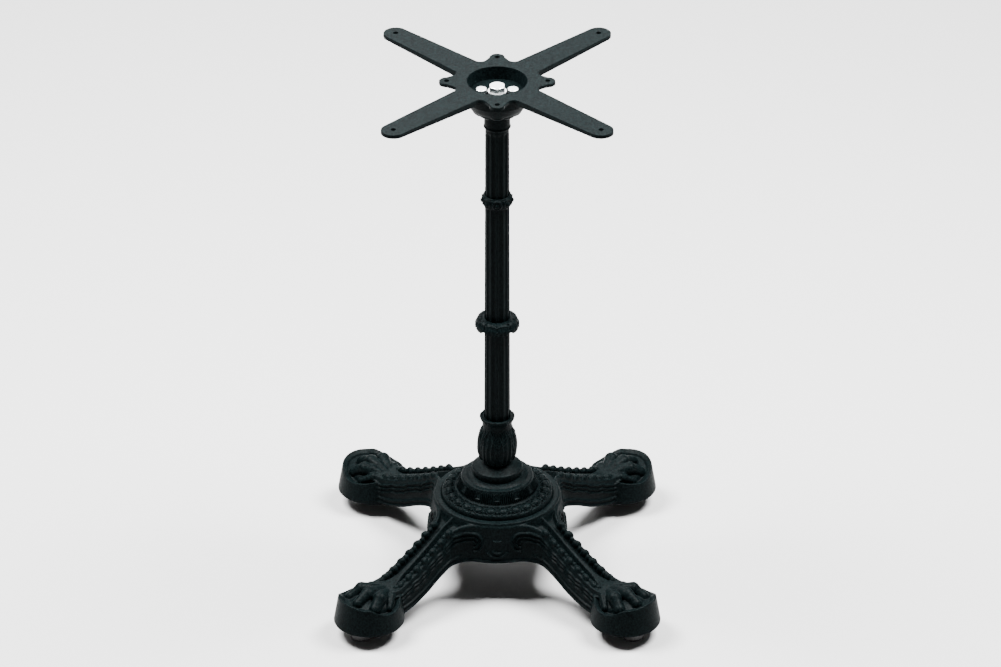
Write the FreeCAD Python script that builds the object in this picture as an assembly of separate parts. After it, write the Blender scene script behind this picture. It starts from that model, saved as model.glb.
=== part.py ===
"""Ornate cast-iron pedestal base for a cafe table, built as the assembly of castings and fasteners that it is.

Frame: millimetres, +Z up, origin on the floor under the centre of the column.
The four legs run along the diagonals, so that the feet stand on the corners of a square.
"""

import FreeCAD, Part
import math
import os

V = FreeCAD.Vector
ORIGIN = V(0, 0, 0)
UP = V(0, 0, 1)

# ---- driving dimensions -------------------------------------------------------------------------
HEIGHT = 720.0                 # floor to the top face of the plate: dining height

# top plate, the cross that screws to the underside of a table top
PLATE_T = 4.8                  # thickness at the arms' tips
LUG_T = 4.5                    # thickness of the four short lugs
ARM_ROOT_T = 8.2               # an arm gets thicker towards the centre
ARM_HOLE = 130.0               # each arm's hole is this far from the axis in X and in Y
ARM_TIP_R = 15.8
ARM_ROOT_HALF = 21.0           # half width of an arm where it leaves the centre
CENTRE_R = 46.0                # radius of the plate's centre disc
LUG_R = 64.0                   # radius of the circle of the four short lugs' holes
LUG_TIP_R = 9.8
LUG_ROOT_HALF = 24.0            # half width of a lug where it leaves the centre, at LUG_ROOT_R
LUG_ROOT_R = 40.0
NOTCH_R = 8.0                  # fillet between an arm and a lug
SCREW_HOLE_R = 3.5
PLATE_EDGE = 0.8               # rounding of the plate's top edge
CUP_R = 38.5
CUP_FLOOR_R = 36.0
CUP_DEPTH = 16.7
CUP_WALL = 5.5
CUP_FLOOR_T = 6.0

# centre tie bolt (M12) and its hardware
BOLT_R = 6.0
BOLT_HOLE_R = 6.8
BOLT_AF = 19.0
BOLT_HEAD_H = 7.5
WASHER_R = 12.0
WASHER_T = 2.5
NUT_H = 10.0
SPRING_WASHER_T = 3.0
SPRING_WASHER_R = 10.5
PLAIN_WASHER_R = 18.0
PLAIN_WASHER_T = 3.0
BOLT_TAIL = 6.0                # thread that stands below the nut
RUN = 0.05                     # clearance of a nut or washer on the bolt
HEX_FACE = 0.97                # a hex's turned top face, as a share of its width across flats

# the two hex screws (M8) that stop the plate turning on the column head
SIDE_SCREW_R = 4.0
SIDE_SCREW_AF = 13.0
SIDE_SCREW_HEAD_H = 5.3
SIDE_SCREW_PITCH_R = 20.0
SIDE_SCREW_DEPTH = 14.0

# column head, the bowl under the plate
HEAD_TOP_R = 41.5
HEAD_H = 22.0
HEAD_SHOULDER = (30.0, 6.0)    # radius, height above the head's lower face
HEAD_BOTTOM_R = 20.0
SOCKET_DEPTH = 12.0

# fluted shaft, a tapered casting
SHAFT_TOP_R = 15.1
SHAFT_BOTTOM_R = 16.9
SHAFT_BORE_R = 8.5
NECK_R = 16.6                  # plain ring round the shaft's upper end
NECK_H = 22.0
NECK_CHAMFER = 1.4
FLUTES = 12
FLUTE_R = 2.6
FLUTE_DEPTH = 1.5
SHAFT_FIT = 0.1                # gap between the shaft and what slides over it

# collars, slipped down over the tapered shaft
UPPER_COLLAR_Z = 548.5
UPPER_COLLAR_R = 19.9
UPPER_COLLAR_H = 16.0
MIDDLE_COLLAR_Z = 366.0
MIDDLE_COLLAR_R = 28.7
MIDDLE_COLLAR_H = 19.0
LEAVES = 8

# tulip, the bulb-shaped socket that the shaft stands in
TULIP_BOTTOM_Z = 160.0
TULIP_POINTS = ((16.5, 0.0), (22.0, 7.0), (25.8, 22.0), (23.6, 40.0), (19.2, 55.0), (22.6, 66.5))
TULIP_LIP_H = 2.5              # thickness of the lip's edge
TULIP_SEAT_Z = 196.0           # the shaft stands here, inside the tulip
TULIP_GROOVES = 16
TULIP_GROOVE = (26.2, 60.0, 1.2)        # radius it reaches, radius it curves on, half width
TULIP_GROOVE_Z = (5.0, 23.5, 46.0)      # its lower end, its middle and its upper end, above the tulip's foot

# seat disc between the tulip and the base
DISC_R = 33.0
DISC_EDGE_Z = 153.5
DISC_TOP_R = 18.0
DISC_BOTTOM_Z = 138.5

# base casting: hub
SKIRT_R = 95.0                 # the skirt's slant, at BLOCK_Z[0] and at BLOCK_Z[1]
SKIRT_TOP_R = 82.7
BLOCK_Z = (15.0, 118.0)
RIM_R = 82.0
RIM_IN_R = 73.0
RIM_Z = 112.5
RIM_T = 5.0
BAND_R = 53.5                  # inner radius of the ornamental band
BAND_Z = 122.5
DRUM_R = 46.5
DRUM_Z = 140.5
RECESS_R = 36.4
SEAT_T = 12.0
HUB_WALL = 8.0

# base casting: legs, as functions of the distance from the axis
LEG_HALF_TOP = 16.5
LEG_HALF_BOTTOM = 21.0
LEG_WALL = 6.0
LEG_TOP_LINE = ((60.0, 112.0), (82.0, 109.0), (99.0, 102.0), (127.0, 87.0), (155.0, 73.5), (177.0, 64.0),
                (195.0, 58.5), (212.0, 58.0), (240.0, 58.0))
LEG_END = 218.0                # the leg runs into the foot's ankle here
LEG_BOTTOM_LINE = ((60.0, 58.0), (90.0, 57.5), (127.0, 46.5), (155.0, 33.0), (180.0, 24.5), (240.0, 20.0))
LEG_ROOF = 8.0
CORNER_R = 24.0                # fillet in plan between a leg and the hub
CHANNEL_W = 6.5
CHANNEL_MID = 7.0
CHANNEL_DEPTH = 4.0
CHANNEL_RANGE = (92.0, 198.0)

# base casting: feet
FOOT_R = 233.9                 # distance of a foot's centre from the axis
FOOT_Z = 20.0                  # the underside of the casting
FOOT_BOTTOM_R = 46.0
FOOT_TOP_R = 37.0
FOOT_CONE_TOP = 72.0
FOOT_CENTRE_Z = 46.5           # height of the foot's slanting top over its centre
FOOT_RISE = 15.2               # rise of that top from the centre to its outer edge
FOOT_LIP = 4.0
FOOT_RECESS = 6.0
FOOT_ROOF = 7.0
FOOT_WALL = 6.0
TOES = (-57.0, 0.0, 57.0)      # directions of the toes, in degrees from straight outward
TOE_REACH = (7.0, 24.0)        # a toe's knuckle and tip: distance from the foot's centre, height and radius
TOE_Z = (60.0, 51.5)
TOE_R = (8.4, 6.0)
THUMB = ((-24.0, 18.0, 53.0), (-13.0, 29.0, 45.0))      # its two ends: outward and sideways of the foot's centre, height
THUMB_R = (5.5, 4.95)
FOOT_RECESS_START = -12.0      # the recess starts this far outward of the foot's centre
PAW_BLOCK = 60.0               # half size of a block that holds a whole foot

# levellers
LEVELLER_OUT = 14.0            # a leveller stands this far outward of its foot's centre
BOSS_R = 11.0
BOSS_ROOF = 2.5                # the boss reaches this far above its hole
STUD_R = 4.0
STUD_HOLE_R = 4.06
STUD_TOP = 38.0
STUD_HOLE_TOP = 40.5
HEX_AF = 13.0
HEX_Z = (12.3, 19.7)
PAD_R = 14.0
PAD_H = 12.0
PAD_EDGE = 2.5
PIVOT_R = 3.0                  # the stud's lower end, which turns in the pad
PIVOT_FIT = 0.06
PIVOT_Z = 4.0

CORNERS = (("front_right", -45.0), ("back_right", 45.0), ("back_left", 135.0), ("front_left", 225.0))

# ---- derived heights ----------------------------------------------------------------------------
CUP_FLOOR_Z = HEIGHT - CUP_DEPTH
HEAD_TOP_Z = CUP_FLOOR_Z - CUP_FLOOR_T
HEAD_BOTTOM_Z = HEAD_TOP_Z - HEAD_H
SHAFT_TOP_Z = HEAD_BOTTOM_Z + SOCKET_DEPTH
SEAT_UNDER_Z = DISC_BOTTOM_Z - SEAT_T
NUT_TOP_Z = SEAT_UNDER_Z - PLAIN_WASHER_T - SPRING_WASHER_T


# ---- helpers ------------------------------------------------------------------------------------
def save(name, *solids):
    """Writes one node, checked to be closed and valid."""
    shape = solids[0] if len(solids) == 1 else Part.makeCompound(list(solids))
    print(f"{name:24s} solids {len(shape.Solids)} valid {shape.isValid()} volume {shape.Volume / 1000:.1f} cm3")
    shape.exportStep(f"parts/{name}.step")


def cylinder(radius, z0, z1, x=0.0, y=0.0):
    return Part.makeCylinder(radius, z1 - z0, V(x, y, z0), UP)


def cone(r0, r1, z0, z1, x=0.0, y=0.0):
    return Part.makeCone(r0, r1, z1 - z0, V(x, y, z0), UP)


def hexagon(across_flats, z0, z1):
    """A hex prism with two flats facing left and right, the corners of its top turned off at 30 degrees."""
    corner_r = across_flats / math.sqrt(3)
    points = [V(corner_r * math.sin(math.radians(60 * k)), corner_r * math.cos(math.radians(60 * k)), z0)
              for k in range(6)]
    prism = Part.Face(Part.makePolygon(points + points[:1])).extrude(V(0, 0, z1 - z0))
    face_r = across_flats / 2 * HEX_FACE
    return prism.common(cone(face_r + (z1 - z0) / math.tan(math.radians(30)), face_r, z0, z1))


def curve(points):
    """A smooth edge through points."""
    line = Part.BSplineCurve()
    line.interpolate([V(*p) for p in points])
    return line.toShape()


def revolved(edges):
    """The solid that a closed outline in the XZ half plane sweeps round the Z axis."""
    return Part.Face(Part.Wire(Part.__sortEdges__(edges))).revolve(ORIGIN, UP, 360)


def outline(points):
    """Straight edges joining points given as (radius, z), closed."""
    corners = [V(r, 0, z) for r, z in points]
    return [Part.makeLine(a, b) for a, b in zip(corners, corners[1:] + corners[:1])]


def turned(points):
    return revolved(outline(points))


def spun(shape, degrees):
    """A copy of shape turned about the Z axis."""
    copy = shape.copy()
    copy.rotate(ORIGIN, UP, degrees)
    return copy


def ring_of(shape, count, start=0.0):
    return [spun(shape, start + 360.0 / count * k) for k in range(count)]


def largest(shape):
    """The biggest solid of a shape, without the slivers that a cut can leave."""
    return max(shape.Solids, key=lambda solid: solid.Volume)


def shaft_radius(z):
    share = (z - TULIP_SEAT_Z) / (SHAFT_TOP_Z - TULIP_SEAT_Z)
    return SHAFT_BOTTOM_R + (SHAFT_TOP_R - SHAFT_BOTTOM_R) * share


# ---- top plate ----------------------------------------------------------------------------------
def arm(z0, z1):
    """One arm, along +X: two tangent lines from the centre disc to a round tip."""
    reach = ARM_HOLE * math.sqrt(2)
    points = [V(0, -ARM_ROOT_HALF, z0), V(reach, -ARM_TIP_R, z0), V(reach, ARM_TIP_R, z0), V(0, ARM_ROOT_HALF, z0)]
    blade = Part.Face(Part.makePolygon(points + points[:1])).extrude(V(0, 0, z1 - z0))
    blade = blade.fuse(cylinder(ARM_TIP_R, z0, z1, reach))
    side = [V(0, -50, z0), V(CENTRE_R, -50, z0), V(reach + ARM_TIP_R, -50, z1 - PLATE_T),
            V(reach + ARM_TIP_R, -50, z1), V(0, -50, z1)]
    return blade.common(Part.Face(Part.makePolygon(side + side[:1])).extrude(V(0, 100, 0)))


def lug(z0, z1):
    """One short ear, along +X."""
    points = [V(LUG_ROOT_R, -LUG_ROOT_HALF, z0), V(LUG_R, -LUG_TIP_R, z0), V(LUG_R, LUG_TIP_R, z0),
              V(LUG_ROOT_R, LUG_ROOT_HALF, z0)]
    blade = Part.Face(Part.makePolygon(points + points[:1])).extrude(V(0, 0, z1 - z0))
    return blade.fuse(cylinder(LUG_TIP_R, z0, z1, LUG_R))


def rounded_notches(shape):
    """Fillets the upright inside corners between the arms, the lugs and the disc."""
    found = []
    for edge in shape.Edges:
        a, b = (v.Point for v in edge.Vertexes[:1] + edge.Vertexes[-1:])
        upright = abs(a.x - b.x) < 1e-6 and abs(a.y - b.y) < 1e-6 and abs(a.z - b.z) > 1
        if upright and CENTRE_R < math.hypot(a.x, a.y) < LUG_R - 2:
            found.append(edge)
    return shape.makeFillet(NOTCH_R, found)


def under_lugs(z0, z1):
    """What is cut away below the lugs, outside the centre disc and between the arms."""
    low, high = z0 - 1, z1 - LUG_T
    arms = ring_of(arm(z0 - 2, z1), 4, 45.0)
    return cylinder(LUG_R + LUG_TIP_R + 1, low, high).cut([cylinder(CENTRE_R, low - 1, high + 1)] + arms)


def top_plate():
    z0, z1 = HEIGHT - ARM_ROOT_T, HEIGHT
    flat = cylinder(CENTRE_R, z0, z1)
    flat = flat.fuse(ring_of(arm(z0, z1), 4, 45.0) + ring_of(lug(z0, z1), 4)).removeSplitter()
    flat = rounded_notches(flat).cut(under_lugs(z0, z1))
    top_edges = [e for e in flat.Edges if all(abs(v.Z - z1) < 1e-6 for v in e.Vertexes)]
    flat = flat.makeFillet(PLATE_EDGE, top_edges)
    cup = turned([(0, HEAD_TOP_Z), (HEAD_TOP_R, HEAD_TOP_Z), (CUP_R + CUP_WALL, z0 + 0.5), (0, z0 + 0.5)])
    hollow = cone(CUP_FLOOR_R, CUP_R, CUP_FLOOR_Z, z1)
    plate = flat.fuse(cup).cut(hollow)
    holes = [cylinder(BOLT_HOLE_R, HEAD_TOP_Z - 1, z1)]
    holes += ring_of(cylinder(SCREW_HOLE_R, z0 - 1, z1 + 1, ARM_HOLE * math.sqrt(2)), 4, 45.0)
    holes += ring_of(cylinder(SCREW_HOLE_R, z0 - 1, z1 + 1, LUG_R), 4)
    holes += ring_of(cylinder(SIDE_SCREW_R + 0.5, HEAD_TOP_Z - 1, z1, SIDE_SCREW_PITCH_R), 2)
    return plate.cut(holes).removeSplitter()


# ---- column -------------------------------------------------------------------------------------
def column_head():
    """The bowl-shaped casting between the shaft and the plate, with a socket for the shaft's neck."""
    shoulder_r, shoulder_h = HEAD_SHOULDER
    side = curve([(HEAD_TOP_R, 0, HEAD_TOP_Z), (HEAD_TOP_R - 4.5, 0, HEAD_BOTTOM_Z + 12.5),
                  (shoulder_r, 0, HEAD_BOTTOM_Z + shoulder_h), (HEAD_BOTTOM_R, 0, HEAD_BOTTOM_Z)])
    socket_z = HEAD_BOTTOM_Z + SOCKET_DEPTH
    corners = [(HEAD_BOTTOM_R, HEAD_BOTTOM_Z), (NECK_R + SHAFT_FIT, HEAD_BOTTOM_Z), (NECK_R + SHAFT_FIT, socket_z),
               (BOLT_HOLE_R, socket_z), (BOLT_HOLE_R, HEAD_TOP_Z), (HEAD_TOP_R, HEAD_TOP_Z)]
    points = [V(r, 0, z) for r, z in corners]
    straight = [Part.makeLine(a, b) for a, b in zip(points, points[1:])]
    head = revolved([side] + straight)
    bores = ring_of(cylinder(SIDE_SCREW_R, CUP_FLOOR_Z - SIDE_SCREW_DEPTH - 1, HEAD_TOP_Z + 1, SIDE_SCREW_PITCH_R), 2)
    return head.cut(bores)


def shaft():
    """The fluted, tapered tube, with a plain neck at its upper end."""
    tube = cone(SHAFT_BOTTOM_R, SHAFT_TOP_R, TULIP_SEAT_Z, SHAFT_TOP_Z)
    neck_z = HEAD_BOTTOM_Z - NECK_H
    neck = turned([(0, neck_z), (shaft_radius(neck_z) - 0.5, neck_z), (NECK_R, neck_z + NECK_CHAMFER * 2),
                   (NECK_R, SHAFT_TOP_Z), (0, SHAFT_TOP_Z)])
    low, high = TULIP_BOTTOM_Z + TULIP_POINTS[-1][1], neck_z - 4.0
    low_r, high_r = (shaft_radius(z) + FLUTE_R - FLUTE_DEPTH for z in (low, high))
    start, end = V(low_r, 0, low), V(high_r, 0, high)
    flute = Part.makeCylinder(FLUTE_R, (end - start).Length, start, end - start)
    flute = flute.fuse([Part.makeSphere(FLUTE_R, start), Part.makeSphere(FLUTE_R, end)])
    body = tube.cut(ring_of(flute, FLUTES, 15.0)).fuse(neck)
    return body.cut(cylinder(SHAFT_BORE_R, TULIP_SEAT_Z - 1, SHAFT_TOP_Z + 1)).removeSplitter()


def collar(z, radius, height):
    """A ring of leaves round the shaft: a rounded ring with scallops between the leaves."""
    half = height / 2
    bore = [(shaft_radius(z + s * half) + SHAFT_FIT, z + s * half) for s in (-1, 1)]
    wall = 1.2
    side = curve([(bore[0][0] + wall, 0, z - half), (radius * 0.94, 0, z - half * 0.45), (radius, 0, z),
                  (radius * 0.94, 0, z + half * 0.5), (bore[1][0] + wall, 0, z + half)])
    points = [V(bore[0][0] + wall, 0, z - half), V(bore[0][0], 0, z - half), V(bore[1][0], 0, z + half),
              V(bore[1][0] + wall, 0, z + half)]
    ring = revolved([side] + [Part.makeLine(a, b) for a, b in zip(points, points[1:])])
    notch_r = radius * 0.09
    notch = Part.makeCylinder(notch_r, height * 2, V(radius + notch_r * 0.35, 0, z - height), UP)
    return ring.cut(ring_of(notch, LEAVES, 180.0 / LEAVES))


def tulip():
    """The bulb that the shaft stands in, with a flared lip."""
    points = [(r, 0, TULIP_BOTTOM_Z + h) for r, h in TULIP_POINTS]
    side = curve(points)
    lip_r = TULIP_POINTS[-1][0]
    lip_z = TULIP_BOTTOM_Z + TULIP_POINTS[-1][1]
    bore_r = SHAFT_BOTTOM_R + SHAFT_FIT
    corners = [V(lip_r, 0, lip_z), V(lip_r, 0, lip_z + TULIP_LIP_H), V(bore_r, 0, lip_z + TULIP_LIP_H),
               V(bore_r, 0, TULIP_SEAT_Z), V(SHAFT_BORE_R, 0, TULIP_SEAT_Z), V(SHAFT_BORE_R, 0, TULIP_BOTTOM_Z),
               V(TULIP_POINTS[0][0], 0, TULIP_BOTTOM_Z)]
    bulb = revolved([side] + [Part.makeLine(a, b) for a, b in zip(corners, corners[1:])])
    return bulb.cut(ring_of(tulip_groove(), TULIP_GROOVES))


def tulip_groove():
    """One upright groove of the tulip, a piece of a large ring that stands on edge."""
    reach, curve_r, half_width = TULIP_GROOVE
    low, middle, high = TULIP_GROOVE_Z
    whole = Part.makeTorus(curve_r, half_width, V(reach - curve_r, 0, TULIP_BOTTOM_Z + middle), V(0, 1, 0))
    side = 4 * half_width
    return whole.common(Part.makeBox(reach, side, high - low, V(reach / 2, -side / 2, TULIP_BOTTOM_Z + low)))


def seat_disc():
    return turned([(SHAFT_BORE_R, DISC_BOTTOM_Z), (DISC_R - 0.8, DISC_BOTTOM_Z), (DISC_R, DISC_BOTTOM_Z + 0.8),
                   (DISC_R, DISC_EDGE_Z - 0.8), (DISC_R - 0.8, DISC_EDGE_Z), (DISC_TOP_R, TULIP_BOTTOM_Z),
                   (SHAFT_BORE_R, TULIP_BOTTOM_Z)])


# ---- fasteners ----------------------------------------------------------------------------------
def tie_bolt():
    shank_top = CUP_FLOOR_Z + WASHER_T
    tip = NUT_TOP_Z - NUT_H - BOLT_TAIL
    shank = cylinder(BOLT_R, tip + 1.0, shank_top).fuse(cone(BOLT_R - 1.0, BOLT_R, tip, tip + 1.0))
    return shank.fuse(hexagon(BOLT_AF, shank_top, shank_top + BOLT_HEAD_H)).removeSplitter()


def washer(radius, z0, z1):
    return cylinder(radius, z0, z1).cut(cylinder(BOLT_R + RUN, z0 - 1, z1 + 1))


def spring_washer():
    z0, z1 = NUT_TOP_Z, NUT_TOP_Z + SPRING_WASHER_T
    split = Part.makeBox(SPRING_WASHER_R, 1.6, SPRING_WASHER_T + 2, V(0, -0.8, z0 - 1))
    return washer(SPRING_WASHER_R, z0, z1).cut(split)


def tie_nut():
    nut = hexagon(BOLT_AF, NUT_TOP_Z - NUT_H, NUT_TOP_Z)
    return nut.cut(cylinder(BOLT_R + RUN, NUT_TOP_Z - NUT_H - 1, NUT_TOP_Z + 1))


def side_screws():
    z = CUP_FLOOR_Z
    screw = hexagon(SIDE_SCREW_AF, z, z + SIDE_SCREW_HEAD_H)
    screw = screw.fuse(cylinder(SIDE_SCREW_R - RUN, z - SIDE_SCREW_DEPTH, z)).removeSplitter()
    places = []
    for side in (-1, 1):
        copy = screw.copy()
        copy.translate(V(side * SIDE_SCREW_PITCH_R, 0, 0))
        places.append(copy)
    return places


# ---- base casting -------------------------------------------------------------------------------
def leg_edges(half, hub_r, corner_r, z):
    """Where one leg's side, its corner fillet and the hub's circle touch, for the leg along +X, at height z.

    The fillet's centre lies half + corner_r from the leg's middle, and hub_r + corner_r from the axis.
    """
    across = half + corner_r
    along = math.sqrt((hub_r + corner_r) ** 2 - across ** 2)
    on_leg = V(along, half, z)
    share = hub_r / (hub_r + corner_r)
    on_hub = V(along * share, across * share, z)
    middle = V(along, across, z)
    bisector = ((on_leg - middle).normalize() + (on_hub - middle).normalize()).normalize()
    return on_leg, middle + bisector * corner_r, on_hub


def star_wire(half, hub_r, corner_r, reach, z):
    """The outline of the hub and its four legs at height z."""
    on_leg, mid, on_hub = leg_edges(half, hub_r, corner_r, z)
    end = V(reach, half, z)
    between_legs = math.pi / 2 - 2 * math.atan2(on_hub.y, on_hub.x)
    edges = []
    for k in range(4):
        def place(p, mirror=1):
            return turn_point(V(p.x, mirror * p.y, p.z), 45 + 90 * k)
        edges.append(Part.Arc(place(on_hub, -1), place(mid, -1), place(on_leg, -1)).toShape())
        edges.append(Part.makeLine(place(on_leg, -1), place(end, -1)))
        edges.append(Part.makeLine(place(end, -1), place(end)))
        edges.append(Part.makeLine(place(end), place(on_leg)))
        edges.append(Part.Arc(place(on_leg), place(mid), place(on_hub)).toShape())
        start = place(on_hub)
        halfway, finish = (turn_point(start, math.degrees(between_legs * share)) for share in (0.5, 1.0))
        edges.append(Part.Arc(start, halfway, finish).toShape())
    return Part.Wire(edges)


def turn_point(point, degrees):
    c, s = math.cos(math.radians(degrees)), math.sin(math.radians(degrees))
    return V(point.x * c - point.y * s, point.x * s + point.y * c, point.z)


def star(half_low, half_high, hub_low, hub_high, corner_r, reach, heights):
    """The hub and its four legs as one block with slanting sides between the two heights."""
    levels = ((half_low, hub_low, heights[0]), (half_high, hub_high, heights[1]))
    return Part.makeLoft([star_wire(half, hub_r, corner_r, reach, z) for half, hub_r, z in levels], True, True)


def between(top_line, bottom_line, reach):
    """The solid of revolution between two lines given as (radius, z), out to reach."""
    top = curve([(r, 0, z) for r, z in top_line])
    bottom = curve([(r, 0, z) for r, z in bottom_line])
    t0, t1 = top_line[0], top_line[-1]
    b0, b1 = bottom_line[0], bottom_line[-1]
    ends = [Part.makeLine(V(t0[0], 0, t0[1]), V(0, 0, t0[1])), Part.makeLine(V(0, 0, t0[1]), V(0, 0, b0[1])),
            Part.makeLine(V(0, 0, b0[1]), V(b0[0], 0, b0[1])), Part.makeLine(V(b1[0], 0, b1[1]), V(t1[0], 0, t1[1]))]
    return revolved([top, bottom] + ends)


BELOW = ((60.0, 8.0), (100.0, 8.0), (150.0, 8.0), (240.0, 8.0))    # a level line well under the casting


def shifted(line, drop):
    return tuple((r, z - drop) for r, z in line)


def hub_top():
    """Everything of the hub above the legs: rim, ornamental band, drum and the recess for the seat disc."""
    crest = V((BAND_R + RIM_IN_R) / 2 + 2.5, 0, BAND_Z + 0.6)
    band = Part.Arc(V(BAND_R, 0, BAND_Z), crest, V(RIM_IN_R - 1.5, 0, RIM_Z - 2)).toShape()
    points = [V(RIM_IN_R - 1.5, 0, RIM_Z - 2), V(RIM_IN_R, 0, RIM_Z - 2), V(RIM_IN_R, 0, RIM_Z), V(RIM_R - 0.8, 0, RIM_Z),
              V(RIM_R, 0, RIM_Z - 0.8), V(RIM_R, 0, RIM_Z - RIM_T), V(SKIRT_TOP_R - 4, 0, RIM_Z - RIM_T - 4),
              V(SKIRT_TOP_R - 4, 0, RIM_Z - 20), V(0, 0, RIM_Z - 20), V(0, 0, DISC_BOTTOM_Z),
              V(RECESS_R, 0, DISC_BOTTOM_Z), V(RECESS_R, 0, DRUM_Z), V(DRUM_R, 0, DRUM_Z), V(BAND_R, 0, BAND_Z)]
    return revolved([band] + [Part.makeLine(a, b) for a, b in zip(points, points[1:])])


def foot_plane_solid(drop, radius):
    """The half space under a foot's slanting top, lowered by drop, as a block round that foot (leg along +X)."""
    slope = FOOT_RISE / FOOT_TOP_R
    z = FOOT_CENTRE_Z - drop
    points = [V(FOOT_R - radius, -radius, 0), V(FOOT_R + radius, -radius, 0),
              V(FOOT_R + radius, -radius, z + slope * radius), V(FOOT_R - radius, -radius, z - slope * radius)]
    return Part.Face(Part.makePolygon(points + points[:1])).extrude(V(0, 2 * radius, 0))


def foot_cone(inset, z0):
    """A foot's slanting wall, moved in by inset."""
    height = FOOT_CONE_TOP - FOOT_Z
    slope = (FOOT_BOTTOM_R - FOOT_TOP_R) / height
    return cone(FOOT_BOTTOM_R - inset - slope * (z0 - FOOT_Z), FOOT_TOP_R - inset, z0, FOOT_CONE_TOP, FOOT_R)


def capsule(start, end, r0, r1):
    """A tapered finger with round ends."""
    axis = end - start
    return Part.makeCone(r0, r1, axis.Length, start, axis).fuse([Part.makeSphere(r0, start), Part.makeSphere(r1, end)])


def paw():
    """The toes of one foot, for the leg along +X."""
    fingers = []
    for degrees in TOES:
        a = math.radians(degrees)
        knuckle, tip = (V(FOOT_R + reach * math.cos(a), reach * math.sin(a), z) for reach, z in zip(TOE_REACH, TOE_Z))
        fingers.append(capsule(knuckle, tip, *TOE_R))
    for side in (-1, 1):
        fingers.append(capsule(*(V(FOOT_R + x, side * y, z) for x, y, z in THUMB), *THUMB_R))
    return fingers


def foot_outside():
    """One foot's cup, with its slanting lip and the recess inside the lip."""
    cup = foot_cone(0, FOOT_Z).common(foot_plane_solid(0, PAW_BLOCK))
    hollow = foot_cone(FOOT_LIP, FOOT_Z).cut(foot_plane_solid(FOOT_RECESS, PAW_BLOCK))
    outward = Part.makeBox(PAW_BLOCK, 2 * PAW_BLOCK, HEIGHT, V(FOOT_R + FOOT_RECESS_START, -PAW_BLOCK, 0))
    return cup.cut(hollow.common(outward))


def foot_inside():
    return foot_cone(FOOT_WALL, FOOT_Z).fuse(cone(FOOT_BOTTOM_R - FOOT_WALL + 0.2, FOOT_BOTTOM_R - FOOT_WALL, FOOT_Z - 1,
                                                  FOOT_Z, FOOT_R)).common(foot_plane_solid(FOOT_RECESS + FOOT_ROOF, PAW_BLOCK))


def channels():
    """The two channels in the top of each leg, one each side of its middle ridge."""
    start, end = CHANNEL_RANGE
    pair = []
    for side in (-1, 1):
        box = Part.makeBox(end - start, CHANNEL_W, HEIGHT, V(start, side * CHANNEL_MID - CHANNEL_W / 2, 0))
        pair.append(box.cut(between(shifted(LEG_TOP_LINE, CHANNEL_DEPTH), BELOW, FOOT_R)))
    return ring_of(pair[0], 4, 45.0) + ring_of(pair[1], 4, 45.0)


def base_casting():
    block = star(LEG_HALF_BOTTOM, LEG_HALF_TOP, SKIRT_R, SKIRT_TOP_R, CORNER_R, LEG_END, BLOCK_Z)
    outside = block.common(between(LEG_TOP_LINE, LEG_BOTTOM_LINE, FOOT_R))
    outside = outside.fuse(hub_top())
    outside = outside.fuse(ring_of(foot_outside(), 4, 45.0))
    core = star(LEG_HALF_BOTTOM - LEG_WALL, LEG_HALF_TOP - LEG_WALL, SKIRT_R - HUB_WALL, SKIRT_TOP_R - HUB_WALL,
                CORNER_R, LEG_END - LEG_WALL, BLOCK_Z)
    roof = shifted(LEG_TOP_LINE, LEG_ROOF)
    core = core.common(between(roof, BELOW, FOOT_R))
    dome = turned([(0, 90.0), (SKIRT_TOP_R - HUB_WALL - 2, 90.0), (BAND_R - 1, RIM_Z - 2), (DRUM_R - HUB_WALL, SEAT_UNDER_Z),
                   (0, SEAT_UNDER_Z)])
    core = core.fuse([dome] + ring_of(foot_inside(), 4, 45.0))
    casting = largest(outside.cut(core))
    casting = casting.cut(channels())
    boss = cylinder(BOSS_R, FOOT_Z, STUD_HOLE_TOP + BOSS_ROOF, FOOT_R + LEVELLER_OUT)
    for piece in paw() + [boss]:
        casting = casting.fuse(ring_of(piece, 4, 45.0))
    holes = ring_of(cylinder(STUD_HOLE_R, FOOT_Z - 1, STUD_HOLE_TOP, FOOT_R + LEVELLER_OUT), 4, 45.0)
    holes.append(cylinder(BOLT_HOLE_R, SEAT_UNDER_Z - 1, DRUM_Z + 1))
    return largest(casting.cut(holes))


# ---- levellers ----------------------------------------------------------------------------------
def leveller_stud():
    """Threaded stud with its hex, whose lower end turns in the pad."""
    stud = cylinder(STUD_R, HEX_Z[1], STUD_TOP - 1).fuse(cone(STUD_R, STUD_R - 1, STUD_TOP - 1, STUD_TOP))
    return stud.fuse([hexagon(HEX_AF, HEX_Z[0], HEX_Z[1]), cylinder(PIVOT_R, PIVOT_Z, HEX_Z[0])]).removeSplitter()


def leveller_pad():
    """Moulded glide with a rounded edge and a blind socket for the stud."""
    arc = Part.Arc(V(PAD_R - PAD_EDGE, 0, 0), V(PAD_R - PAD_EDGE * 0.2929, 0, PAD_EDGE * 0.2929),
                   V(PAD_R, 0, PAD_EDGE)).toShape()
    socket_r = PIVOT_R + PIVOT_FIT
    points = [V(PAD_R, 0, PAD_EDGE), V(PAD_R - 1.0, 0, PAD_H - 3.0), V(PAD_R - 4.0, 0, PAD_H), V(socket_r, 0, PAD_H),
              V(socket_r, 0, PIVOT_Z - 0.3), V(0, 0, PIVOT_Z - 0.3), ORIGIN, V(PAD_R - PAD_EDGE, 0, 0)]
    return revolved([arc] + [Part.makeLine(a, b) for a, b in zip(points, points[1:])])


def at_corner(shape, degrees):
    copy = shape.copy()
    copy.translate(V(FOOT_R + LEVELLER_OUT, 0, 0))
    return spun(copy, degrees)


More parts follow.
